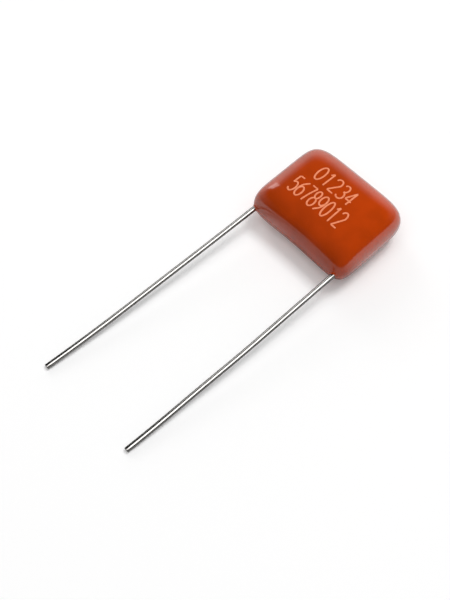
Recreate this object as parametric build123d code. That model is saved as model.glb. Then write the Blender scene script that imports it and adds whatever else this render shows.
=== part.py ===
from build123d import *
import math
import os

# Radial film capacitor: a flattened roll of metallised film, a sprayed metal contact on each end
# of the roll, two wire leads welded to the contacts, and one dipped resin coating around it all.
# It lies on its broad face. All sizes are in millimetres.
# The origin is on the resting face, midway between the leads. X runs along the roll's axis, from
# the left lead to the right one, -Y is the way the leads point, and +Z is up out of the marked face.

# The roll of film
roll_length = 8.8         # width of the film, along X
roll_width = 8.0          # across the flattened turns, along Y
roll_thickness = 3.9      # through the flattened turns, along Z
slit_width = 3.4          # what the winding mandrel leaves in the middle once the roll is pressed flat
slit_gap = 0.14
roll_step_width = 0.25    # the outer turns stop short at each end, and the roll steps in this far
roll_step_depth = 0.12

# The sprayed metal contacts on the ends of the roll
contact_thickness = 0.45
contact_bevel = 0.12

# The leads
lead_diameter = 0.5
lead_seat_depth = 0.1     # how deep the weld presses a lead into its contact
lead_inner_length = 2.6   # a lead reaches this far past the middle of the roll
lead_free_length = 23.8   # from the coating to the cut end, measured along Y
lead_bend_radius = 3.0
lead_end_bevel = 0.06
left_lead_swing = 4.15    # degrees in plan: both hand-bent wires have drifted towards -X
right_lead_swing = 2.6
lead_tip_clearance = 0.02  # the cut ends hang this far above the surface that the part lies on

# The coating
face_coat_thickness = 0.45       # over the roll's broad faces
far_edge_coat_thickness = 0.6    # over the turns, away from the leads
lead_edge_coat_thickness = 0.8   # over the turns, at the two shoulders where the leads come out
end_coat_thickness = 0.65        # over each lead, at the ends of the roll
end_rounding_width = 1.7  # how far the rim falls back from mid height to the flat faces, along X
side_rounding_width = 2.1  # and along Y
far_squareness = 5.8      # exponent of the outline's curve: 2 is an ellipse, and more is squarer
lead_squareness = 8.0
saddle_depth = 0.2        # the edge between the shoulders is hollowed by this much
neck_length = 0.05        # the coating climbs each wire this far past the shoulders
neck_lip_thickness = 0.03  # and ends this thick
neck_depth = 1.2          # from the neck's end to where it is lost in the body
neck_root_thickness = 0.3  # how thick it is round the wire there

# How finely the coating's curves are followed
rim_steps = 8             # steps from the resting face to the marked face
outline_points = 48       # points round each section

lead_radius = lead_diameter / 2
mid_height = face_coat_thickness + roll_thickness / 2
body_thickness = roll_thickness + 2 * face_coat_thickness
contact_face = roll_length / 2 + contact_thickness
lead_x = contact_face - lead_seat_depth + lead_radius
half_length = lead_x + lead_radius + end_coat_thickness
far_edge = roll_width / 2 + far_edge_coat_thickness
lead_edge = -(roll_width / 2 + lead_edge_coat_thickness)
neck_end = lead_edge - neck_length
bend_y = neck_end - lead_radius
sides = (("left", -1, left_lead_swing), ("right", 1, right_lead_swing))


def oval(width, thickness):
    """The roll's cross-section: flat faces with the turns bent round at both edges."""
    return SlotOverall(width, thickness)


def oval_slab(width, thickness, start, length, direction):
    """An oval extruded along X from start, towards -X or +X."""
    plane = Plane(origin=(start, 0, mid_height), x_dir=(0, 1, 0), z_dir=(direction, 0, 0))
    return extrude(plane * oval(width, thickness), length)


def make_slit():
    """The flat gap that runs through the middle of the roll from end to end."""
    return oval_slab(slit_width, slit_gap, -roll_length / 2, roll_length, 1)


def inner_turns(direction):
    """The turns that reach further than the outer ones at one end of the roll."""
    return oval_slab(
        roll_width - 2 * roll_step_width,
        roll_thickness - 2 * roll_step_width,
        direction * (roll_length / 2 - roll_step_depth),
        roll_step_depth,
        direction,
    )


def make_roll():
    """One solid for all the turns, with its slit and its stepped ends."""
    outer_length = roll_length - 2 * roll_step_depth
    roll = oval_slab(roll_width, roll_thickness, -outer_length / 2, outer_length, 1)
    return roll + inner_turns(-1) + inner_turns(1) - make_slit()


def make_contact(direction):
    """A sprayed contact: it caps one end of the roll, laps over the step and holds its lead."""
    start = direction * (roll_length / 2 - roll_step_depth)
    depth = roll_step_depth + contact_thickness
    cap = oval_slab(roll_width, roll_thickness, start, depth, direction)
    outer_face = cap.faces().sort_by(Axis.X)[-1 if direction > 0 else 0]
    cap = chamfer(outer_face.edges(), contact_bevel)
    return cap - inner_turns(direction) - lead_wire(direction, 0)


def lead_path(direction, swing):
    """Straight along the contact, one small bend outside the coating, and straight to the cut end."""
    x = direction * lead_x
    free_run = lead_edge - lead_free_length - bend_y
    tip = (
        x + free_run * math.tan(math.radians(swing)),
        bend_y + free_run,
        lead_radius + lead_tip_clearance,
    )
    return FilletPolyline(
        (x, lead_inner_length, mid_height), (x, bend_y, mid_height), tip, radius=lead_bend_radius
    )


def lead_wire(direction, swing):
    """The wire itself, swept along its path."""
    path = lead_path(direction, swing)
    start = Plane(origin=path @ 0, z_dir=path % 0)
    return sweep(start * Circle(lead_radius), path)


def make_lead(direction, swing):
    """A lead with the edge of its cut end broken."""
    wire = lead_wire(direction, swing)
    cut_face = wire.faces().sort_by(Axis.Y)[0]
    return chamfer(cut_face.edges(), lead_end_bevel)


def coat_section(level):
    """The coating's outline at a level, which is -1 on the resting face and 1 on the marked face.

    The rim is a quarter ellipse above and below mid height, so an outline is smaller than the one
    at mid height, level 0, by a share of the rounding. Each outline is a power curve, which is
    squarer than an ellipse, and its lead side is hollowed between the shoulders."""
    share = 1 - math.sqrt(1 - level * level)
    half_x = half_length - end_rounding_width * share
    half_y = (far_edge - lead_edge) / 2 - side_rounding_width * share
    centre_y = (far_edge + lead_edge) / 2
    points = []
    for step in range(outline_points):
        turn = 2 * math.pi * step / outline_points
        across, along = math.cos(turn), math.sin(turn)
        power = far_squareness if along > 0 else lead_squareness
        reach = (abs(across / half_x) ** power + abs(along / half_y) ** power) ** (-1 / power)
        x, y = reach * across, reach * along
        if along < 0:
            y += saddle_depth * (1 - (x / half_x) ** 2) * along * along
        points.append((x, centre_y + y))
    height = mid_height + level * body_thickness / 2
    parameters = list(range(outline_points + 1))
    outline = Edge.make_spline(points, periodic=True, parameters=parameters)
    return Plane.XY.offset(height) * make_face(outline)


def make_neck(direction):
    """The resin that climbs one wire: a neck round the wire that widens until it is lost in the body."""
    start = Plane(origin=(direction * lead_x, neck_end, mid_height), z_dir=(0, 1, 0))
    tip_radius = lead_radius + neck_lip_thickness
    root_radius = lead_radius + neck_root_thickness
    onwards = (Align.CENTER, Align.CENTER, Align.MIN)
    return start * Cone(tip_radius, root_radius, neck_depth, align=onwards)


def make_coating(inside):
    """The dipped coating: a pillow round the roll, with all that it encloses taken out of it."""
    levels = [-math.cos(math.pi * step / rim_steps) for step in range(rim_steps + 1)]
    coating = loft([coat_section(level) for level in levels])
    for _, direction, _ in sides:
        coating += make_neck(direction)
    for piece in inside:
        coating -= piece
    return coating


def main():
    """Write one STEP file for each piece."""
    os.makedirs("parts", exist_ok=True)
    pieces = {"film_roll": make_roll()}
    for side, direction, swing in sides:
        pieces[f"{side}_contact"] = make_contact(direction)
        pieces[f"{side}_lead"] = make_lead(direction, swing)
    pieces["resin_coating"] = make_coating([*pieces.values(), make_slit()])
    for node, shape in pieces.items():
        export_step(shape, f"parts/{node}.step")


main()
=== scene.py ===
# %% [markdown]
# # A dipped film capacitor
# The part is a roll of metallised film with a sprayed contact on each end, two wire leads and one
# coat of glossy orange resin. The solids come from the CAD model as a fixed frame. This script
# dresses them: it builds finer surfaces where the eye rests, gives every piece a material, and sets
# up a plain table, soft light and a camera.

# %% The frame
import math

import bpy
import numpy as np
from mathutils import Matrix, Vector


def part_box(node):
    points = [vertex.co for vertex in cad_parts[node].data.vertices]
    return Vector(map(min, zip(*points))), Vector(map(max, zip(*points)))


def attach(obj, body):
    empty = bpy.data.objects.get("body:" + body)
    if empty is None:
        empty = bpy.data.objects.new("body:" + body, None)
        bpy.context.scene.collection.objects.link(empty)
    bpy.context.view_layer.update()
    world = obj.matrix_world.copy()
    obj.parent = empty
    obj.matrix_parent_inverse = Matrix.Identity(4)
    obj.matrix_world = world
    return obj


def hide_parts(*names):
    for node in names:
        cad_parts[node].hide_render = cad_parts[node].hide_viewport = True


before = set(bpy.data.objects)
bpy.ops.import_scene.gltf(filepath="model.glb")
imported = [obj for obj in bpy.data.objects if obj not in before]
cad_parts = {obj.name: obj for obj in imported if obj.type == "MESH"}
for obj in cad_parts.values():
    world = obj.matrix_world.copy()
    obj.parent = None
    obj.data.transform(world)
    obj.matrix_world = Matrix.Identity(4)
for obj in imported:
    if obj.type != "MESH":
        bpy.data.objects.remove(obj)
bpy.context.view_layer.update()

MM = 0.001    # in metres, which are the unit of the scene
print("CAD nodes:", ", ".join(sorted(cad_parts)))

# %% [markdown]
# ## The camera
# The photograph looks down steeply at the part, from between its lead side and its right end. A
# camera has three axes of its own: right, up, and back towards the viewer. Two angles give all
# three, and a distance along the back axis gives its place. A close camera is needed for the same
# perspective, because the near lead has to look thicker than the far one.

# %% Camera
CAMERA_AZIMUTH = 46.29    # degrees round Z, from the lead side towards the right end
CAMERA_ELEVATION = 61.44
CAMERA_DISTANCE = 91.2    # mm
CAMERA_TARGET = (-0.82, -12.55, 0.0)
CAMERA_LENS = 60.0


def camera_axes(azimuth, elevation):
    """Right, up and back as unit vectors, for a camera turned round Z and raised, in degrees."""
    a, e = math.radians(azimuth), math.radians(elevation)
    back = np.array([math.sin(a) * math.cos(e), -math.cos(a) * math.cos(e), math.sin(e)])
    right = np.array([math.cos(a), math.sin(a), 0.0])
    return right, np.cross(back, right), back


def add_object(name, data):
    """An object for a camera, a lamp or a mesh, linked to the scene."""
    made = bpy.data.objects.new(name, data)
    bpy.context.scene.collection.objects.link(made)
    return made


def add_camera():
    """The camera stands back from its target by its distance, and its axes are its turn."""
    right, up, back = camera_axes(CAMERA_AZIMUTH, CAMERA_ELEVATION)
    place = np.array(CAMERA_TARGET) + back * CAMERA_DISTANCE
    data = bpy.data.cameras.new("camera")
    data.lens = CAMERA_LENS
    data.clip_start = MM
    camera = add_object("camera", data)
    turn = Matrix([right, up, back]).transposed().to_4x4()
    camera.matrix_world = Matrix.Translation(Vector(place * MM)) @ turn
    bpy.context.scene.camera = camera
    print("camera at, in mm:", place.round(1))


add_camera()

# %% [markdown]
# ## The light
# A glossy coat shows the room that it stands in, so the light is planned as what the coat mirrors.
# The photograph shows pale streaks along the far rims and none on the broad face, so there is a
# wide, low band of light behind the part, such as a window behind paper, and the space overhead is
# dark to mirrors. One small window is mirrored as a pale spot on the left end's rim. Lamps that only
# have to lighten are hidden from mirror reflections, so they don't spoil the broad face.
#
# The soft grey around the body is a shadow with hardly any edge, so light comes from all round and
# from a broad lamp overhead. The thin shadow of each wire does have an edge, so a smaller key lamp
# hangs there too, and a third lamp, on the lead side, lightens the table. The broad face is lightest
# at its far right corner. A tiny lamp close above that corner gives this, because the light of so
# near a lamp falls off across the part. Metal is only as bright as what it mirrors, so the wires
# have three lamps of their own: for the photograph's view, and for views from behind and the left.

# %% Node helpers
def add_node(tree, kind, **settings):
    """A node of one kind. A setting that is an input's name sets that input; the rest are properties."""
    node = tree.nodes.new(kind)
    for name, value in settings.items():
        if name in node.inputs:
            node.inputs[name].default_value = value
        else:
            setattr(node, name, value)
    return node


def math_node(tree, operation, first, second=None):
    """A Math node whose two inputs are numbers or sockets. It returns the output socket."""
    node = add_node(tree, "ShaderNodeMath", operation=operation)
    for socket, value in zip(node.inputs, (first, second)):
        if isinstance(value, bpy.types.NodeSocket):
            tree.links.new(value, socket)
        elif value is not None:
            socket.default_value = value
    return node.outputs[0]


def ramp_node(tree, value, start, end, low=0.0, high=1.0):
    """A soft step: low before start and high after end, for a value that is a socket."""
    node = add_node(tree, "ShaderNodeMapRange", interpolation_type="SMOOTHSTEP")
    tree.links.new(value, node.inputs["Value"])
    for name, number in (("From Min", start), ("From Max", end), ("To Min", low), ("To Max", high)):
        node.inputs[name].default_value = number
    return node.outputs["Result"]


def new_material(name):
    """A material made of nodes, and its tree."""
    material = bpy.data.materials.new(name)
    material.use_nodes = True
    return material, material.node_tree


# %% World
ROOM_LEVEL = 0.28    # what lights the part and the table from all round
DIM_LEVEL = 0.008    # what mirrors see


def paint_world():
    """White to the camera, dim to mirrors, and an even, soft light from all round to the rest."""
    scene = bpy.context.scene
    scene.view_settings.view_transform = "Standard"
    world = bpy.data.worlds.new("studio")
    scene.world = world
    world.use_nodes = True
    tree = world.node_tree
    path = add_node(tree, "ShaderNodeLightPath")
    seen = math_node(tree, "MULTIPLY", path.outputs["Is Camera Ray"], 1.0 - ROOM_LEVEL)
    mirrored = math_node(tree, "MULTIPLY", path.outputs["Is Glossy Ray"], DIM_LEVEL - ROOM_LEVEL)
    strength = math_node(tree, "ADD", math_node(tree, "ADD", seen, mirrored), ROOM_LEVEL)
    light = tree.nodes["Background"]
    light.inputs["Color"].default_value = (1, 1, 1, 1)
    tree.links.new(strength, light.inputs["Strength"])
    world.cycles.sampling_method = "NONE"
    print(f"world: {ROOM_LEVEL} all round, {DIM_LEVEL} in mirrors")


paint_world()

# %% Lamps
LAMP_DISTANCE = 0.5    # metres
NEAR_DISTANCE = 0.021


def out_from_part(azimuth, elevation):
    """A direction. Azimuth 0 is away from the camera and 90 is to its right, in degrees."""
    right, _, back = camera_axes(CAMERA_AZIMUTH, 0)
    a, e = math.radians(azimuth), math.radians(elevation)
    flat = -back * math.cos(a) + right * math.sin(a)
    return flat * math.cos(e) + np.array([0, 0, math.sin(e)])


def add_lamp(name, azimuth, elevation, size, level, in_mirrors, distance=LAMP_DISTANCE):
    """A lamp aimed at the part, whose size is its width and height in metres. Level is how bright
    the lamp alone would make a white table, where 1 is white. Only a lamp that is in mirrors has to
    be found by mirrored rays as well."""
    towards = Vector(out_from_part(azimuth, elevation))
    data = bpy.data.lights.new(name, "AREA")
    data.shape = "RECTANGLE"
    data.size, data.size_y = size
    data.energy = level * (math.pi * distance) ** 2 / towards.z
    data.cycles.use_multiple_importance_sampling = in_mirrors
    lamp = add_object(name, data)
    lamp.location = towards * distance
    lamp.rotation_euler = towards.to_track_quat("Z", "Y").to_euler()
    lamp.visible_camera = False
    lamp.visible_glossy = in_mirrors
    print(f"{name}: {data.energy:.4f} W")
    return lamp


add_lamp("key", 55, 70, (0.16, 0.16), 0.34, False)
add_lamp("sky", 55, 80, (0.5, 0.5), 0.22, False)
add_lamp("small_window", -28, 33, (0.15, 0.2), 0.05, True)
near_lamp = add_lamp("near_lamp", 106, 64, (0.006, 0.006), 0.15, False, NEAR_DISTANCE)
table_lamp = add_lamp("table_lamp", -134, 68, (0.3, 0.3), 0.15, False)
wire_lamps = [
    add_lamp("wire_glint", 124, 66, (0.36, 0.5), 0.85, True),
    add_lamp("wire_glint_from_behind", -134, 45, (0.7, 0.4), 0.6, True),
    add_lamp("wire_glint_from_left", 1, 28, (0.3, 0.3), 0.12, True),
]

# %% [markdown]
# ## The table
# A plain white table, so large that its edge lies far outside the photograph. To the camera a faint
# glow of its own lifts it from nearly white to white, and the shadows stay. To mirrors it is a light
# grey, as a real white sheet is when the photographer has exposed for the background, and it darkens
# towards the viewer, where the photographer stands in the way of the light.

# %% Table paint
TABLE_WHITE = 0.92      # its shade
TABLE_GREY = 0.74       # its shade to mirrors
TABLE_DARK = 0.45       # its shade to mirrors towards the viewer
TABLE_LIFT = 0.125      # its own glow, to the camera alone
DARK_AZIMUTH = -165     # the middle of the dark part, which is nearly towards the viewer
DARK_START, DARK_END = 65, 25    # it darkens between these angles from the middle


def mirrored_shade(tree):
    """The table's shade to mirrors. It falls smoothly from grey to dark as the way out from the part
    to a point of the table turns towards the dark part's middle."""
    outwards = add_node(tree, "ShaderNodeVectorMath", operation="NORMALIZE")
    tree.links.new(add_node(tree, "ShaderNodeNewGeometry").outputs["Position"], outwards.inputs[0])
    facing = add_node(tree, "ShaderNodeVectorMath", operation="DOT_PRODUCT")
    tree.links.new(outwards.outputs["Vector"], facing.inputs[0])
    facing.inputs[1].default_value = out_from_part(DARK_AZIMUTH, 0)
    start, end = (math.cos(math.radians(angle)) for angle in (DARK_START, DARK_END))
    return ramp_node(tree, facing.outputs["Value"], start, end, TABLE_GREY, TABLE_DARK)


def table_paint():
    """Matt white, apart from its shade to mirrors and its glow to the camera."""
    material, tree = new_material("white_table")
    shader = tree.nodes["Principled BSDF"]
    shader.inputs["Roughness"].default_value = 1.0
    shader.inputs["Specular IOR Level"].default_value = 0.0
    shader.inputs["Emission Color"].default_value = (1, 1, 1, 1)
    path = add_node(tree, "ShaderNodeLightPath")
    shade = add_node(tree, "ShaderNodeMix", data_type="FLOAT")
    mix_share, mix_a, mix_b = (socket for socket in shade.inputs if socket.type == "VALUE")
    tree.links.new(path.outputs["Is Glossy Ray"], mix_share)
    mix_a.default_value = TABLE_WHITE
    tree.links.new(mirrored_shade(tree), mix_b)
    tree.links.new(shade.outputs[0], shader.inputs["Base Color"])
    lift = math_node(tree, "MULTIPLY", path.outputs["Is Camera Ray"], TABLE_LIFT)
    tree.links.new(lift, shader.inputs["Emission Strength"])
    return material


# %% Table
TABLE_HALF = 3.0        # metres


def add_table():
    """One square at the height that the part rests on."""
    h = TABLE_HALF
    mesh = bpy.data.meshes.new("table_top")
    mesh.from_pydata([(-h, -h, 0), (h, -h, 0), (h, h, 0), (-h, h, 0)], [], [(0, 1, 2, 3)])
    mesh.materials.append(table_paint())
    table = add_object("table_top", mesh)
    print(f"{table.name}: {2 * h} m square")


add_table()

# %% [markdown]
# ## The bright band behind
# The band is a curved paper screen that stands on the table behind the part, lit most at its foot.
# Its surface is a function of an angle and a height, and its glow fades upwards and towards both
# sides, so the streaks in the coat have soft edges. The camera doesn't see it.

# %% Screen surface
SCREEN_RADIUS = 0.6          # metres
SCREEN_HEIGHT = 0.52
SCREEN_SPAN = (-115, 100)    # degrees, where 0 is away from the camera
SIDE_FADE = 80               # degrees over which it fades at each side
TOP_FADE = 22                # and at the top, as seen from the part
SCREEN_COLUMNS = 61
SCREEN_ROWS = 23


def screen_grid():
    """Columns stand round the part at even angles and rows climb them at even heights. Each point
    has a glow from 0 to 1, which is full below and none at the top and at both sides."""
    angle = np.linspace(*SCREEN_SPAN, SCREEN_COLUMNS)[None, :]
    height = np.linspace(0, SCREEN_HEIGHT, SCREEN_ROWS)[:, None]
    right, _, back = camera_axes(CAMERA_AZIMUTH, 0)
    turn = np.radians(angle)[..., None]
    flat = SCREEN_RADIUS * (-back * np.cos(turn) + right * np.sin(turn))
    points = flat + np.array([0, 0, 1]) * height[..., None]
    rise = np.degrees(np.arctan2(height, SCREEN_RADIUS))
    glow = np.clip((rise[-1, 0] - rise) / TOP_FADE, 0, 1)
    glow = glow * np.clip((angle - SCREEN_SPAN[0]) / SIDE_FADE, 0, 1)
    glow = glow * np.clip((SCREEN_SPAN[1] - angle) / SIDE_FADE, 0, 1)
    rows, columns = glow.shape
    first = np.arange(rows - 1)[:, None] * columns + np.arange(columns - 1)[None, :]
    faces = np.stack([first, first + 1, first + columns + 1, first + columns], -1).reshape(-1, 4)
    return points, glow, faces


# %% Screen
SCREEN_GLOW = 0.9


def lit_paper():
    """Paper with light behind it, as bright as the mesh's glow says."""
    material, tree = new_material("lit_paper")
    light = add_node(tree, "ShaderNodeEmission")
    share = add_node(tree, "ShaderNodeAttribute", attribute_name="glow").outputs["Fac"]
    tree.links.new(math_node(tree, "MULTIPLY", share, SCREEN_GLOW), light.inputs["Strength"])
    tree.links.new(light.outputs["Emission"], tree.nodes["Material Output"].inputs["Surface"])
    return material


def add_screen():
    """The grid as a mesh that keeps its glow as an attribute, which its material reads."""
    points, glow, faces = screen_grid()
    mesh = bpy.data.meshes.new("paper_screen")
    mesh.from_pydata(points.reshape(-1, 3), [], faces.tolist())
    layer = mesh.attributes.new("glow", "FLOAT", "POINT")
    layer.data.foreach_set("value", glow.reshape(-1))
    mesh.materials.append(lit_paper())
    screen = add_object("paper_screen", mesh)
    screen.visible_camera = False
    screen.visible_shadow = False
    print(f"{screen.name}: {len(faces)} faces")
    return screen


screen = add_screen()

# %% [markdown]
# ## One way to make every piece
# The coat, the wires and the strokes of the print are all the same kind of surface: a stack of
# closed rings, with a point closing each end, or with the last ring joined to the first. A table of
# points, ring by ring, says where everything is, and the faces follow from the table's layout. The
# volume inside is worked out from the faces. It comes out positive when they face outwards.

# %% Faces of a ring stack
def ring_faces(rings, columns, start, ends_joined):
    """Corner numbers for a stack of rings, split as quads between rings and fans at the two poles.

    Point numbers run ring by ring from start. Without joined ends, the two poles come last."""
    ring = np.arange(rings if ends_joined else rings - 1)[:, None]
    column = np.arange(columns)[None, :]
    beside = (column + 1) % columns
    above = (ring + 1) % rings
    corners = [ring * columns + column, ring * columns + beside]
    corners += [above * columns + beside, above * columns + column]
    quads = start + np.stack(np.broadcast_arrays(*corners), -1).reshape(-1, 4)
    if ends_joined:
        return quads, np.zeros((0, 3), int)
    column, beside = column[0], beside[0]
    first, last = rings * columns, rings * columns + 1
    top = (rings - 1) * columns
    low_fan = np.stack([beside, column, np.full(columns, first)], -1)
    high_fan = np.stack([top + column, top + beside, np.full(columns, last)], -1)
    return quads, start + np.concatenate([low_fan, high_fan])


# %% Piece maker
def inside_volume(points, quads, fans):
    """The volume in the closed surface: the sum of the tetrahedra between the origin and each face."""
    triangles = np.concatenate([quads[:, [0, 1, 2]], quads[:, [0, 2, 3]], fans])
    a, b, c = (points[triangles[:, k]] for k in range(3))
    return float((a * np.cross(b, c)).sum() / 6)


def make_piece(name, stacks):
    """One object from closed stacks of rings, in millimetres. A stack is (rings, poles), and poles is
    None where the last ring joins the first."""
    points, quads, fans, start = [], [], [], 0
    for rings, poles in stacks:
        count, columns = rings.shape[:2]
        stack_points = rings.reshape(-1, 3)
        if poles is not None:
            stack_points = np.concatenate([stack_points, poles])
        stack_quads, stack_fans = ring_faces(count, columns, start, poles is None)
        if inside_volume(stack_points, stack_quads - start, stack_fans - start) < 0:
            stack_quads, stack_fans = stack_quads[:, ::-1], stack_fans[:, ::-1]
        points.append(stack_points)
        quads.append(stack_quads)
        fans.append(stack_fans)
        start += len(stack_points)
    points, quads, fans = (np.concatenate(part) for part in (points, quads, fans))
    mesh = bpy.data.meshes.new(name)
    mesh.from_pydata(points * MM, [], quads.tolist() + fans.tolist())
    mesh.polygons.foreach_set("use_smooth", np.ones(len(mesh.polygons), bool))
    mesh.update()
    volume = inside_volume(points, quads, fans)
    print(f"{name}: {2 * len(quads) + len(fans)} triangles, {volume:.3f} mm3 inside")
    return add_object(name, mesh)


# %% [markdown]
# ## The coat of resin
# The coat is made by dipping, and liquid resin pulls itself smooth, so it has no flat faces and no
# edges at all: the broad faces are slightly crowned and roll over into the sides. A block with
# bevels would show a hard line where the flat ends. Instead one formula gives the whole pillow. Each
# ring is the outline at some share of its full size, and the height falls away from the middle
# slowly at first and then steeply, like the end of a quarter circle. The lead side is a little
# hollow between its two shoulders, and the resin climbs each wire in a small meniscus.

# %% Coat sizes
_, coat_high = (np.array(corner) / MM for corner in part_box("resin_coating"))
HALF_X = coat_high[0]
FAR_EDGE = coat_high[1]
LEAD_EDGE = -4.8          # the shoulders, in mm, without the resin that climbs the wires
MIDDLE_Y = (FAR_EDGE + LEAD_EDGE) / 2
HALF_Y = (FAR_EDGE - LEAD_EDGE) / 2
MID_HEIGHT = coat_high[2] / 2
INK_ROOM = 0.015          # the marked face is this much lower than the box, and the ink fits in
TOP_HEIGHT = MID_HEIGHT - INK_ROOM
FAR_SQUARENESS = 5.8      # exponent of the outline's curve: 2 is an ellipse, and more is squarer
LEAD_SQUARENESS = 8.0
SADDLE_DEPTH = 0.2        # the edge between the shoulders is hollowed by this much
CROWN = 4.4               # exponent of a face's fall: more keeps it flat for longer
ROLL_OVER = 0.5           # exponent of its end: one half is as round as a circle
LENGTH_SHARE = 0.645      # exponent of a ring's length: less rolls the ends over more tightly
LEAD_X = 5.0
WIRE_RADIUS = 0.25
print(f"coat: {2 * HALF_X:.2f} x {2 * HALF_Y:.2f} x {2 * MID_HEIGHT:.2f} mm")

# %% Coat surface
MENISCUS_CLIMB = 0.2      # how far the resin climbs a wire
MENISCUS_WIDTH = 0.16     # and over what distance from the wire that fades


def outline(turn, half_x, half_y):
    """A power curve, squarer than an ellipse: the point at angle turn where the powers of x over
    half_x and y over half_y add up to 1. The lead half is squarer than the far half."""
    across, along = np.cos(turn), np.sin(turn)
    power = np.where(along > 0, FAR_SQUARENESS, LEAD_SQUARENESS)
    total = np.abs(across / half_x) ** power + np.abs(along / half_y) ** power
    reach = total ** (-1 / power)
    return reach * across, reach * along


def face_height(share):
    """How high a face is above mid height, from 1 in its middle to 0 at the rim: a root of 1 less a
    power of the ring's share."""
    return (1 - share**CROWN) ** ROLL_OVER


def coat_point(turn, share, side):
    """A point of the coat. Share is 0 at the middle of a broad face and 1 at mid height on the rim,
    and side is 1 above and -1 below. The ring is the outline, with its width times the share and its
    length times a power of the share. Its lead side is hollowed most in the middle."""
    half_x, half_y = HALF_X * share**LENGTH_SHARE, HALF_Y * share
    x, y = outline(turn, half_x, half_y)
    along = np.minimum(np.sin(turn), 0)
    y = y + SADDLE_DEPTH * share**2 * (1 - (x / half_x) ** 2) * along**2
    thickness = np.where(side > 0, TOP_HEIGHT, MID_HEIGHT)
    z = MID_HEIGHT + side * thickness * face_height(share)
    return x, MIDDLE_Y + y, z


def meniscus(x, y, z):
    """How far the resin is drawn out along the nearer wire: most at the wire, and fading with the
    distance from it."""
    away = np.hypot(np.abs(x) - LEAD_X, z - MID_HEIGHT)
    fade = np.exp(-np.maximum(away - WIRE_RADIUS, 0) / MENISCUS_WIDTH)
    return np.where(y < 0, MENISCUS_CLIMB * fade, 0)


# %% Coat mesh
COAT_COLUMNS = 440
COAT_RINGS = 104
FINE_STEPS = 4001         # points along a curve whose length is measured


def length_so_far(path):
    """How far each point of a path lies from its start: the sum of the steps before it."""
    return np.concatenate([[0], np.cumsum(np.linalg.norm(np.diff(path, axis=0), axis=1))])


def even_steps(path, count):
    """Where along a path's own parameter, from 0 to 1, to stop so that the steps are equally long."""
    length = length_so_far(path)
    wanted = np.linspace(0, length[-1], count)
    return np.interp(wanted, length, np.linspace(0, 1, len(path)))


def coat_rings():
    """Rings from the middle of the resting face, over the rim, to the middle of the marked face. They
    are equally far apart along the profile, and their points along the outline."""
    fine = np.linspace(0, 1, FINE_STEPS)
    fine_share = np.sin(fine * math.pi / 2)
    profile = np.stack([HALF_Y * fine_share, TOP_HEIGHT * face_height(fine_share)], -1)
    share = np.sin(even_steps(profile, COAT_RINGS + 1)[1:] * math.pi / 2)
    around = np.stack(outline(2 * math.pi * fine, HALF_X, HALF_Y), -1)
    turn = 2 * math.pi * even_steps(around, COAT_COLUMNS + 1)[:-1]
    share = np.concatenate([share, share[-2::-1]])[:, None]
    side = np.where(np.arange(len(share)) < COAT_RINGS, -1, 1)[:, None]
    x, y, z = np.broadcast_arrays(*coat_point(turn[None, :], share, side))
    rings = np.stack([x, y - meniscus(x, y, z), z], -1)
    poles = [(0, MIDDLE_Y, 0), (0, MIDDLE_Y, MID_HEIGHT + TOP_HEIGHT)]
    return rings, np.array(poles)


coat = make_piece("dipped_coat", [coat_rings()])
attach(coat, "root")
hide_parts("resin_coating")

# %% [markdown]
# ## The leads
# The leads are tinned wire. Each runs straight out of the coat, bends down a little and goes on,
# nearly straight, to where cutters have sheared it off. A round profile carried along that path gives
# a smoother wire than the CAD solid, and lets it bow a little, as soft wire does when it is handled.
# The cutters leave the end slightly pinched, with a broken edge.

# %% Lead path
LEAD_REACH = 2.6          # a lead starts this far past the middle of the roll, inside the coat
BEND_Y = -5.1
BEND_RADIUS = 3.0
TIP_Y = -28.6
TIP_HEIGHT = 0.27
LEAD_SWING = {"left": 4.15, "right": 2.6}    # degrees in plan
LEAD_BOW = {
    # mm: the heights of one, two, three, four and five half waves, from the bend to the cut end
    "left": (0.126, -0.028, 0.015, -0.002, -0.001),
    "right": (0.112, -0.003, 0.003, -0.014, 0.007),
}


def lead_ends(side):
    """Start, bend and tip of a lead's middle line. Both wires have drifted towards -X."""
    x = -LEAD_X if side == "left" else LEAD_X
    run = TIP_Y - BEND_Y
    tip_x = x + run * math.tan(math.radians(LEAD_SWING[side]))
    ends = [(x, LEAD_REACH, MID_HEIGHT), (x, BEND_Y, MID_HEIGHT), (tip_x, TIP_Y, TIP_HEIGHT)]
    return np.array(ends)


def bow(side, share):
    """How far a hand-bent wire strays sideways from straight: a sum of sines of the share of its run
    from the bend to the cut end, which are all 0 at both."""
    share = np.clip(share, 0, 1)
    return sum(size * np.sin((k + 1) * math.pi * share) for k, size in enumerate(LEAD_BOW[side]))


def lead_line(side, steps):
    """Points and directions along a lead. A point is the start plus as much of the first run, of the
    arc and of the second run as lies before it, and then its bow. The direction turns from the first
    run's to the second's at an even rate over the arc."""
    start, bend, tip = lead_ends(side)
    first, second = bend - start, tip - bend
    first_length, second_length = np.linalg.norm(first), np.linalg.norm(second)
    first, second = first / first_length, second / second_length
    angle = math.acos(first @ second)
    cut = BEND_RADIUS * math.tan(angle / 2)
    arc = BEND_RADIUS * angle
    stops = np.cumsum([first_length - cut, arc, second_length - cut])
    nodes = np.unique(np.concatenate([np.linspace(0, stops[-1], steps), stops[:2]]))
    turned = np.clip((nodes - stops[0]) / arc, 0, 1)[:, None]
    square = np.cross(np.cross(first, second), first)
    square = square / np.linalg.norm(square)
    direction = first * np.cos(turned * angle) + square * np.sin(turned * angle)
    swing = BEND_RADIUS * (np.sin(turned * angle) * first + (1 - np.cos(turned * angle)) * square)
    before = np.minimum(nodes, stops[0])[:, None] * first
    after = np.maximum(nodes - stops[1], 0)[:, None] * second
    line = start + before + swing + after
    line[:, 0] += bow(side, (nodes - stops[1]) / (stops[2] - stops[1]))
    return nodes, line, direction


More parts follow.
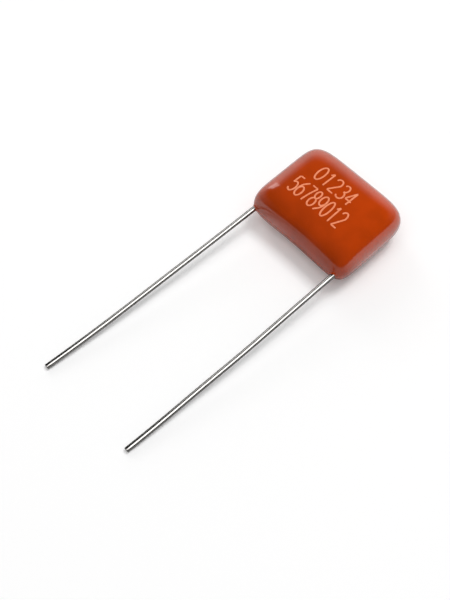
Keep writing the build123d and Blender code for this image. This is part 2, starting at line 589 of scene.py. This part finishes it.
for side in LEAD_SWING:
    print(side, "lead's tip, mm:", lead_ends(side)[-1].round(2))

# %% Lead mesh
LEAD_COLUMNS = 64
LEAD_STEPS = 420
END_BEVEL = 0.065
BEVEL_STEPS = 5
PINCH = 0.12              # the share of its height that the cut end loses
PINCH_LENGTH = 0.5


def between_points(stations, length, points):
    """Points or directions at new stations, each on the straight line between its neighbours, whose
    lengths along the path are given."""
    return np.stack([np.interp(stations, length, column) for column in points.T], -1)


def lead_rings(side):
    """A circle carried along the lead's line. Its radius shrinks as a quarter circle over the bevel
    at both ends, and its height is pinched over the last half millimetre."""
    length, line, direction = lead_line(side, LEAD_STEPS)
    total = length[-1]
    bevel = np.linspace(0, END_BEVEL, BEVEL_STEPS)
    stations = np.unique(np.concatenate([bevel, length, total - bevel]))
    line = between_points(stations, length, line)
    direction = between_points(stations, length, direction)
    beside = np.cross(direction, (0, 0, 1))
    beside /= np.linalg.norm(beside, axis=1, keepdims=True)
    above = np.cross(beside, direction)
    from_end = np.minimum(stations, total - stations)
    lost = np.maximum(END_BEVEL - from_end, 0)
    radius = WIRE_RADIUS - END_BEVEL + np.sqrt(np.maximum(END_BEVEL**2 - lost**2, 0))
    pinched = np.clip(1 - (total - stations) / PINCH_LENGTH, 0, 1)
    tall = radius * (1 - PINCH * pinched**2)
    turn = 2 * math.pi * np.arange(LEAD_COLUMNS)[None, :, None] / LEAD_COLUMNS
    wide, tall = radius[:, None, None], tall[:, None, None]
    rings = line[:, None] + wide * np.cos(turn) * beside[:, None] + tall * np.sin(turn) * above[:, None]
    return rings, line[[0, -1]]


leads = {}
for side in ("left", "right"):
    leads[side] = make_piece(f"{side}_wire", [lead_rings(side)])
    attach(leads[side], "root")
    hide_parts(f"{side}_lead")

# %% [markdown]
# ## Who sees which light
# In so small a picture a wire is only a few pixels wide, and what tells the eye that it is round,
# bright metal is one pale stripe between two dark edges. A mirror-like rod gets its stripe from a
# strip of light above it. The coat would show that strip too, where the photograph has none. Light
# linking solves this: it gives a lamp a list of the objects that it lights, or of those that it
# leaves out. So the wire lamps light only the wires, and the near lamp lights only the coat. The
# table lamp leaves out the coat, and the paper screen leaves out the wires, whose edges stay dark.

# %% Light linking
def link_light(source, pieces, link_state="INCLUDE"):
    """Lets a lamp or a glowing piece light these pieces and nothing else. With the state EXCLUDE it
    lights everything but them."""
    receivers = bpy.data.collections.new(f"{source.name}_list")
    source.light_linking.receiver_collection = receivers
    for piece in pieces:
        receivers.objects.link(piece)
    for member in receivers.collection_objects:
        member.light_linking.link_state = link_state
    says = "lights only" if link_state == "INCLUDE" else "leaves out"
    print(source.name, says, ", ".join(piece.name for piece in pieces))


for lamp in wire_lamps:
    link_light(lamp, leads.values())
link_light(near_lamp, [coat])
link_light(table_lamp, [coat], "EXCLUDE")
link_light(screen, leads.values(), "EXCLUDE")

# %% [markdown]
# ## The print
# Such a part is marked in two lines of thin, rounded figures in a pale ink. Here they are plain
# counting figures. A font would give flat letters that hover over the crowned face. So each figure
# is drawn as a few strokes, each stroke is a smooth line through a handful of points, and a low,
# round-topped ribbon of ink is laid on the coat along it, following the crown.

# %% Strokes of the figures
ARC_STEPS = 9
SHORT_ARC_STEPS = 6
LOOP_STEPS = 25


def arc(middle, radius, start, end, steps=ARC_STEPS):
    """Points on part of an ellipse, from one angle to another in degrees."""
    turn = np.radians(np.linspace(start, end, steps))
    return np.stack([middle[0] + radius[0] * np.cos(turn), middle[1] + radius[1] * np.sin(turn)], -1)


def loop(middle, radius, start):
    """Points all round an ellipse, from one angle and back to it."""
    return arc(middle, radius, start, start + 360, LOOP_STEPS)


def joined(*parts):
    """Single points and runs of points, one after the other."""
    return np.concatenate([np.atleast_2d(part) for part in parts])


# Each figure's strokes lie in a cell that is 1 wide and 1 high. A stroke that ends where it starts is
# a closed loop.
FIGURES = {
    "0": [loop((0.5, 0.5), (0.48, 0.5), 90)],
    "1": [joined((0.22, 0.8), (0.56, 1.0)), joined((0.56, 1.0), (0.56, 0.0))],
    "2": [joined(arc((0.5, 0.74), (0.46, 0.26), 165, -35), (0.04, 0.0)), joined((0.04, 0), (0.98, 0))],
    "3": [arc((0.48, 0.76), (0.42, 0.24), 150, -90), arc((0.48, 0.26), (0.5, 0.26), 90, -150)],
    "4": [joined((0.7, 1.0), (0.02, 0.3)), joined((0.02, 0.3), (0.98, 0.3)), joined((0.7, 1), (0.7, 0))],
    "5": [
        joined((0.92, 1.0), (0.16, 1.0)),
        joined((0.16, 1.0), (0.08, 0.52)),
        joined((0.08, 0.52), arc((0.48, 0.31), (0.5, 0.31), 105, -145)),
    ],
    "6": [
        joined((0.82, 0.99), arc((0.66, 0.3), (0.64, 0.55), 118, 180, SHORT_ARC_STEPS)),
        loop((0.5, 0.3), (0.47, 0.3), 180),
    ],
    "7": [joined((0.02, 1.0), (0.98, 1.0)), joined((0.98, 1.0), (0.62, 0.5), (0.4, 0.0))],
    "8": [loop((0.5, 0.77), (0.38, 0.23), -90), loop((0.5, 0.27), (0.47, 0.27), 90)],
    "9": [
        joined((0.18, 0.01), arc((0.34, 0.7), (0.64, 0.55), -62, 0, SHORT_ARC_STEPS)),
        loop((0.5, 0.7), (0.47, 0.3), 0),
    ],
}
print("strokes in all figures:", sum(len(strokes) for strokes in FIGURES.values()))

# %% Crown under the print
HALVINGS = 40


def crown_height(x, y):
    """The coat's height over a point of the plan. The share of the ring through the point is found
    by halving an interval, because the rings grow with the share."""
    x, y = np.abs(x), y - MIDDLE_Y
    power = np.where(y > 0, FAR_SQUARENESS, LEAD_SQUARENESS)
    low, high = np.zeros_like(x), np.ones_like(x)
    for _ in range(HALVINGS):
        share = (low + high) / 2
        total = (x / (HALF_X * share**LENGTH_SHARE)) ** power + np.abs(y / (HALF_Y * share)) ** power
        low, high = np.where(total > 1, share, low), np.where(total > 1, high, share)
    return MID_HEIGHT + TOP_HEIGHT * face_height(low)


print("marked face at its middle and 4 mm along, mm:", crown_height(np.array([0.0, 4.0]), MIDDLE_Y))

# %% Smooth lines
CURVE_STEPS = 20          # points for each point of a stroke, where its length is measured


def smooth_line(points, steps):
    """A smooth line through the points at even steps of length: each stretch is a cubic whose end
    directions are half the way between the neighbouring points."""
    if len(points) == 2:
        share = np.linspace(0, 1, steps)[:, None]
        return points[0] * (1 - share) + points[1] * share
    closed = np.allclose(points[0], points[-1])
    before = points[-2] if closed else 2 * points[0] - points[1]
    after = points[1] if closed else 2 * points[-1] - points[-2]
    knots = np.vstack([before, points, after])
    at = np.linspace(0, len(points) - 1, CURVE_STEPS * len(points))
    stretch = np.minimum(at.astype(int), len(points) - 2)
    t = (at - stretch)[:, None]
    a, b, c, d = (knots[stretch + k] for k in range(4))
    square, cube = a - 2.5 * b + 2 * c - d / 2, 1.5 * (b - c) + (d - a) / 2
    line = b + t * (c - a) / 2 + t**2 * square + t**3 * cube
    return between_points(even_steps(line, steps), np.linspace(0, 1, len(line)), line)


# %% Stroke widths
STROKE_WIDTH = 0.165
STROKE_STEPS = 40
CAP_START = 0.1           # the first angle, in radians, of the quarter circle that rounds an end
CAP_STEPS = 7


def looped_stroke(points):
    """Middle line, directions and half widths of a closed stroke, which is equally wide all round."""
    line = smooth_line(points, STROKE_STEPS + 1)[:-1]
    along = np.roll(line, -1, 0) - np.roll(line, 1, 0)
    return line, along, np.full(len(line), STROKE_WIDTH / 2)


def open_stroke(points):
    """Middle line, directions and half widths of a stroke with two ends. The half width follows a
    quarter circle at each end, which rounds it off."""
    line = smooth_line(points, STROKE_STEPS)
    along = np.gradient(line, axis=0)
    length = length_so_far(line)
    half = STROKE_WIDTH / 2
    cap = half * (1 - np.cos(np.linspace(CAP_START, math.pi / 2, CAP_STEPS)))
    between = length[(length > half) & (length < length[-1] - half)]
    stations = np.unique(np.concatenate([cap, between, length[-1] - cap]))
    line = between_points(stations, length, line)
    along = between_points(stations, length, along)
    lost = np.maximum(half - np.minimum(stations, stations[-1] + stations[0] - stations), 0)
    return line, along, np.sqrt(np.maximum(half**2 - lost**2, 0))


# %% Ink ribbons
INK_HEIGHT = 0.012
INK_SUNK = 0.006          # how deep the ribbon's underside lies in the coat
RIBBON_COLUMNS = 14


def ribbon(points):
    """A stack of rings for one stroke, whose points are in millimetres in plan. Each ring is half an
    ellipse of ink above the coat's face and half a flatter one below it, across the stroke."""
    closed = np.allclose(points[0], points[-1])
    line, along, half_width = looped_stroke(points) if closed else open_stroke(points)
    along = along / np.linalg.norm(along, axis=1, keepdims=True)
    beside = np.stack([-along[:, 1], along[:, 0]], -1)
    turn = 2 * math.pi * np.arange(RIBBON_COLUMNS) / RIBBON_COLUMNS
    plan = line[:, None] + (half_width[:, None] * np.cos(turn))[..., None] * beside[:, None]
    lift = np.where(np.sin(turn) > 0, INK_HEIGHT, INK_SUNK) * np.sin(turn)
    lift = lift * (half_width / half_width.max())[:, None]
    height = crown_height(plan[..., 0], plan[..., 1]) + lift
    rings = np.concatenate([plan, height[..., None]], -1)
    return rings, None if closed else rings[[0, -1]].mean(1)


# %% Two lines of print
LINES = [
    # figures, left end, foot, pitch, width and height of a figure, tilt in degrees
    ("01234", -2.76, 0.40, 0.93, 0.74, 1.72, -1.6),
    ("56789012", -3.59, -2.20, 0.795, 0.64, 1.92, 0.3),
]


def print_lines():
    """Every stroke at its place: made as large as its figure, moved along by the pitch, turned by the
    line's tilt and moved to where the line starts."""
    stacks = []
    for figures, left, foot, pitch, width, height, tilt in LINES:
        turn = math.radians(tilt)
        spin = np.array([[math.cos(turn), -math.sin(turn)], [math.sin(turn), math.cos(turn)]])
        for place, figure in enumerate(figures):
            for stroke in FIGURES[figure]:
                flat = stroke * (width, height) + (place * pitch, 0)
                stacks.append(ribbon(flat @ spin.T + (left, foot)))
    return stacks


ink = make_piece("printed_figures", print_lines())
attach(ink, "root")

# %% [markdown]
# ## Materials
# All the finishes share two effects. One is an uneven tone: no dipped, sprayed or rolled surface has
# quite the same colour everywhere. The other is a fine relief that breaks up the highlights. Each is
# a node group with its size in millimetres, so it is built once and means the same in every
# material. Both read Object coordinates, which are metres on the part, and so they stay put.

# %% Node group helpers
def new_group(name, inputs, outputs):
    """A shader node group with named number, colour and vector sockets."""
    group = bpy.data.node_groups.new(name, "ShaderNodeTree")
    for way, sockets in (("INPUT", inputs), ("OUTPUT", outputs)):
        for socket, kind, value in sockets:
            made = group.interface.new_socket(socket, in_out=way, socket_type=f"NodeSocket{kind}")
            if value is not None:
                made.default_value = value
    return group, group.nodes.new("NodeGroupInput"), group.nodes.new("NodeGroupOutput")


def sized_noise(tree, size, stretch, detail):
    """Noise on Object coordinates, whose features are about size millimetres across. Stretch makes
    them that many times longer along Y."""
    place = add_node(tree, "ShaderNodeTexCoord").outputs["Object"]
    squeeze = add_node(tree, "ShaderNodeCombineXYZ", X=1.0, Z=1.0)
    tree.links.new(math_node(tree, "DIVIDE", 1.0, stretch), squeeze.inputs["Y"])
    scaled = add_node(tree, "ShaderNodeVectorMath", operation="MULTIPLY")
    tree.links.new(place, scaled.inputs[0])
    tree.links.new(squeeze.outputs["Vector"], scaled.inputs[1])
    noise = add_node(tree, "ShaderNodeTexNoise", Detail=detail, Roughness=0.5)
    tree.links.new(scaled.outputs["Vector"], noise.inputs["Vector"])
    tree.links.new(math_node(tree, "DIVIDE", 1.0 / MM, size), noise.inputs["Scale"])
    return noise.outputs["Fac"]


# %% Uneven tone
TONE_DETAIL = 3.0
PATCH_START, PATCH_END = 0.35, 0.65    # the noise between which one tone turns into the other


def build_uneven_tone():
    """Two colours in soft patches. The amount is how far the second one comes through."""
    group, into, out = new_group(
        "uneven_tone",
        [
            ("Colour", "Color", (0.5, 0.5, 0.5, 1)),
            ("Other Colour", "Color", (0.4, 0.4, 0.4, 1)),
            ("Size mm", "Float", 1.0),
            ("Stretch", "Float", 1.0),
            ("Amount", "Float", 1.0),
        ],
        [("Colour", "Color", None)],
    )
    noise = sized_noise(group, into.outputs["Size mm"], into.outputs["Stretch"], TONE_DETAIL)
    patch = ramp_node(group, noise, PATCH_START, PATCH_END)
    share = math_node(group, "MULTIPLY", patch, into.outputs["Amount"])
    mix = add_node(group, "ShaderNodeMix", data_type="RGBA")
    group.links.new(share, mix.inputs["Factor"])
    mix_a, mix_b = (socket for socket in mix.inputs if socket.type == "RGBA")
    group.links.new(into.outputs["Colour"], mix_a)
    group.links.new(into.outputs["Other Colour"], mix_b)
    result = next(socket for socket in mix.outputs if socket.type == "RGBA")
    group.links.new(result, out.inputs["Colour"])
    return group


uneven_tone = build_uneven_tone()
print("node group:", uneven_tone.name)

# %% Fine relief
RELIEF_DETAIL = 4.0


def build_fine_relief():
    """Noise as a height for a Bump node."""
    group, into, out = new_group(
        "fine_relief",
        [("Size mm", "Float", 1.0), ("Stretch", "Float", 1.0)],
        [("Height", "Float", None)],
    )
    noise = sized_noise(group, into.outputs["Size mm"], into.outputs["Stretch"], RELIEF_DETAIL)
    group.links.new(noise, out.inputs["Height"])
    return group


fine_relief = build_fine_relief()
print("node group:", fine_relief.name)


# %% Material maker
def make_material(name, colours, tone, relief, **shader_values):
    """A Principled material with an uneven tone of two colours and a fine relief.

    Tone is (size in mm, stretch, amount), and relief is (size in mm, stretch, height in mm)."""
    material, tree = new_material(name)
    shader = tree.nodes["Principled BSDF"]
    for socket, value in shader_values.items():
        shader.inputs[socket].default_value = value
    size, stretch, amount = tone
    patches = add_node(tree, "ShaderNodeGroup", node_tree=uneven_tone)
    patches.inputs["Colour"].default_value = (*colours[0], 1)
    patches.inputs["Other Colour"].default_value = (*colours[1], 1)
    patches.inputs["Size mm"].default_value = size
    patches.inputs["Stretch"].default_value = stretch
    patches.inputs["Amount"].default_value = amount
    tree.links.new(patches.outputs["Colour"], shader.inputs["Base Color"])
    size, stretch, height = relief
    waves = add_node(tree, "ShaderNodeGroup", node_tree=fine_relief)
    waves.inputs["Size mm"].default_value = size
    waves.inputs["Stretch"].default_value = stretch
    bump = add_node(tree, "ShaderNodeBump", Strength=1.0, Distance=height * MM)
    tree.links.new(waves.outputs["Height"], bump.inputs["Height"])
    tree.links.new(bump.outputs["Normal"], shader.inputs["Normal"])
    return material


# %% [markdown]
# ### The resin, the wire and the ink
# The resin is a filled epoxy: opaque, deep orange, slightly browner where it has run thick, under a
# glossy skin with faint waves left by the dip. The streaks in the photograph are brighter than one
# surface of resin would mirror them, so the shader's Coat layer adds a second, sharper mirror over a
# fairly rough base. The wire is tinned and drawn, so its marks run along it. A dark Specular Tint
# keeps its edges dark, where metal seen at a slant would otherwise turn white. The ink is a pale,
# thin, almost matt paint.

# %% Outer materials
resin = make_material(
    "orange_resin",
    ((0.49, 0.047, 0.0006), (0.42, 0.041, 0.0004)),
    tone=(2.2, 1.0, 0.8),
    relief=(1.3, 1.0, 0.010),
    Roughness=0.2,
    IOR=1.52,
    **{"Coat Weight": 0.85, "Coat Roughness": 0.06, "Coat IOR": 1.5},
)
coat.data.materials.append(resin)

tinned = make_material(
    "tinned_wire",
    ((0.38, 0.37, 0.355), (0.31, 0.30, 0.29)),
    tone=(0.10, 14.0, 0.6),
    relief=(0.04, 60.0, 0.0005),
    Metallic=1.0,
    Roughness=0.17,
    **{"Specular Tint": (0.2, 0.2, 0.2, 1)},
)
for wire in leads.values():
    wire.data.materials.append(tinned)

pale_ink = make_material(
    "pale_ink",
    ((0.96, 0.32, 0.16), (0.86, 0.25, 0.11)),
    tone=(0.22, 1.0, 0.9),
    relief=(0.08, 1.0, 0.004),
    Roughness=0.5,
)
ink.data.materials.append(pale_ink)
print("outer materials:", resin.name, tinned.name, pale_ink.name)

# %% [markdown]
# ### What the coat hides
# The roll and its contacts stay as CAD solids, because their shapes are right. Film with a skin of
# metal looks like dull silver, and is faintly rough where the edges of its turns show. The contacts
# are zinc, sprayed on as molten drops, so they are grey and rough as cast sand.

# %% Inner materials
film = make_material(
    "metallised_film",
    ((0.62, 0.63, 0.66), (0.50, 0.51, 0.55)),
    tone=(0.16, 1.0, 0.7),
    relief=(0.10, 1.0, 0.006),
    Metallic=0.85,
    Roughness=0.32,
)
zinc = make_material(
    "sprayed_zinc",
    ((0.44, 0.44, 0.45), (0.30, 0.30, 0.31)),
    tone=(0.18, 1.0, 1.0),
    relief=(0.14, 1.0, 0.03),
    Metallic=0.9,
    Roughness=0.62,
)
for node, finish in (("film_roll", film), ("left_contact", zinc), ("right_contact", zinc)):
    for material_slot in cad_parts[node].material_slots:
        material_slot.link = "OBJECT"
        material_slot.material = finish
    print(node, "wears", finish.name)
